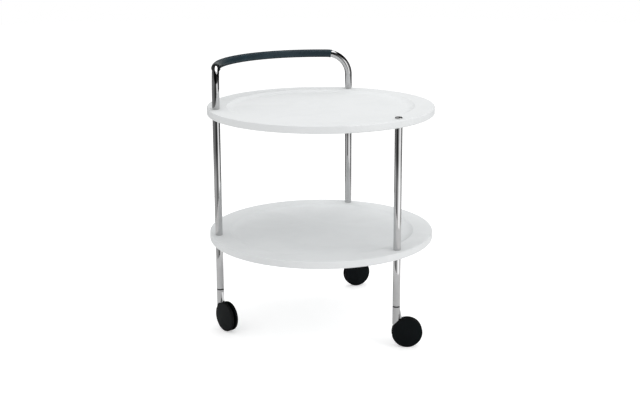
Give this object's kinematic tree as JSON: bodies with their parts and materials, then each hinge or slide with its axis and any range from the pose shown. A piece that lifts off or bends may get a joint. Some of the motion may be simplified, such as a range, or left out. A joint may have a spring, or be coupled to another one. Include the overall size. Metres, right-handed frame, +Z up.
{
  "type": "room service table",
  "caption": "Round two-tier serving trolley with coved white trays, chrome tube legs, twin-wheel castors and a leather-wrapped bow handle.",
  "frame": {"origin": "on the floor, straight under the trays' common centre", "axes": "+Z up along the trays' axis; the left leg stands on -X, the front leg at 300 degrees and the back leg at 60 degrees, seen from above"},
  "size_m": [0.5, 0.5, 0.592],
  "materials": {
    "tray_lacquer": "board with a smooth satin white lacquer on every face",
    "chrome_tube": "bright polished chrome plate on steel tube",
    "chrome_castor": "bright chrome plate on a cast body",
    "handle_leather": "smooth dark blue-black leather with a soft sheen",
    "wheel_plastic": "black moulded plastic, satin gloss",
    "wheel_tread": "matt black soft tread",
    "dark_nylon": "matt dark moulded nylon",
    "clear_nylon": "thin pale moulded nylon",
    "plain_steel": "bright zinc-plated steel",
    "plug_aluminium": "plain turned aluminium",
    "bush_brass": "plain turned brass"
  },
  "bodies": {
    "frame": {"upper_tray": "tray_lacquer", "lower_tray": "tray_lacquer", "handle_bow": "chrome_tube", "handle_grip": "handle_leather", "handle_end_plugs": "plug_aluminium", "front_post_cap": "chrome_tube", "left_upper_post": "chrome_tube", "back_upper_post": "chrome_tube", "front_upper_post": "chrome_tube", "left_lower_post": "chrome_tube", "back_lower_post": "chrome_tube", "front_lower_post": "chrome_tube", "upper_tray_studs": "plain_steel", "lower_tray_studs": "plain_steel", "upper_tray_bushes": "bush_brass", "lower_tray_bushes": "bush_brass", "upper_post_top_plugs": "plug_aluminium", "upper_post_bottom_plugs": "plug_aluminium", "lower_post_top_plugs": "plug_aluminium", "upper_tray_top_washers": "clear_nylon", "upper_tray_underside_washers": "clear_nylon", "lower_tray_top_washers": "clear_nylon", "lower_tray_underside_washers": "clear_nylon", "left_castor_socket": "dark_nylon", "back_castor_socket": "dark_nylon", "front_castor_socket": "dark_nylon"},
    "left_castor": {"left_castor_stem": "plain_steel", "left_castor_grip_ring": "plain_steel", "left_swivel_washer": "dark_nylon", "left_castor_body": "chrome_castor", "left_castor_axle": "plain_steel"},
    "left_wheel_a": {"left_wheel_disc_a": "wheel_plastic", "left_wheel_tread_a": "wheel_tread"},
    "left_wheel_b": {"left_wheel_disc_b": "wheel_plastic", "left_wheel_tread_b": "wheel_tread"},
    "back_castor": {"back_castor_stem": "plain_steel", "back_castor_grip_ring": "plain_steel", "back_swivel_washer": "dark_nylon", "back_castor_body": "chrome_castor", "back_castor_axle": "plain_steel"},
    "back_wheel_a": {"back_wheel_disc_a": "wheel_plastic", "back_wheel_tread_a": "wheel_tread"},
    "back_wheel_b": {"back_wheel_disc_b": "wheel_plastic", "back_wheel_tread_b": "wheel_tread"},
    "front_castor": {"front_castor_stem": "plain_steel", "front_castor_grip_ring": "plain_steel", "front_swivel_washer": "dark_nylon", "front_castor_body": "chrome_castor", "front_castor_axle": "plain_steel"},
    "front_wheel_a": {"front_wheel_disc_a": "wheel_plastic", "front_wheel_tread_a": "wheel_tread"},
    "front_wheel_b": {"front_wheel_disc_b": "wheel_plastic", "front_wheel_tread_b": "wheel_tread"}
  },
  "joints": [
    {"name": "left_swivel", "type": "hinge", "parent": "frame", "child": "left_castor", "pos_m": [-0.2325, 0, 0.0915], "axis": [0, 0, 1], "continuous": true},
    {"name": "left_wheel_a_roll", "type": "hinge", "parent": "left_castor", "child": "left_wheel_a", "pos_m": [-0.22234, -0.0213, 0.033], "axis": [0.9026, 0.4305, 0], "continuous": true},
    {"name": "left_wheel_b_roll", "type": "hinge", "parent": "left_castor", "child": "left_wheel_b", "pos_m": [-0.22234, -0.0213, 0.033], "axis": [0.9026, 0.4305, 0], "continuous": true},
    {"name": "back_swivel", "type": "hinge", "parent": "frame", "child": "back_castor", "pos_m": [0.11625, 0.20135, 0.0915], "axis": [0, 0, 1], "continuous": true},
    {"name": "back_wheel_a_roll", "type": "hinge", "parent": "back_castor", "child": "back_wheel_a", "pos_m": [0.13953, 0.2052, 0.033], "axis": [-0.1633, 0.9866, 0], "continuous": true},
    {"name": "back_wheel_b_roll", "type": "hinge", "parent": "back_castor", "child": "back_wheel_b", "pos_m": [0.13953, 0.2052, 0.033], "axis": [-0.1633, 0.9866, 0], "continuous": true},
    {"name": "front_swivel", "type": "hinge", "parent": "frame", "child": "front_castor", "pos_m": [0.11625, -0.20135, 0.0915], "axis": [0, 0, 1], "continuous": true},
    {"name": "front_wheel_a_roll", "type": "hinge", "parent": "front_castor", "child": "front_wheel_a", "pos_m": [0.13922, -0.20678, 0.033], "axis": [0.23, 0.9732, 0], "continuous": true},
    {"name": "front_wheel_b_roll", "type": "hinge", "parent": "front_castor", "child": "front_wheel_b", "pos_m": [0.13922, -0.20678, 0.033], "axis": [0.23, 0.9732, 0], "continuous": true}
  ]
}
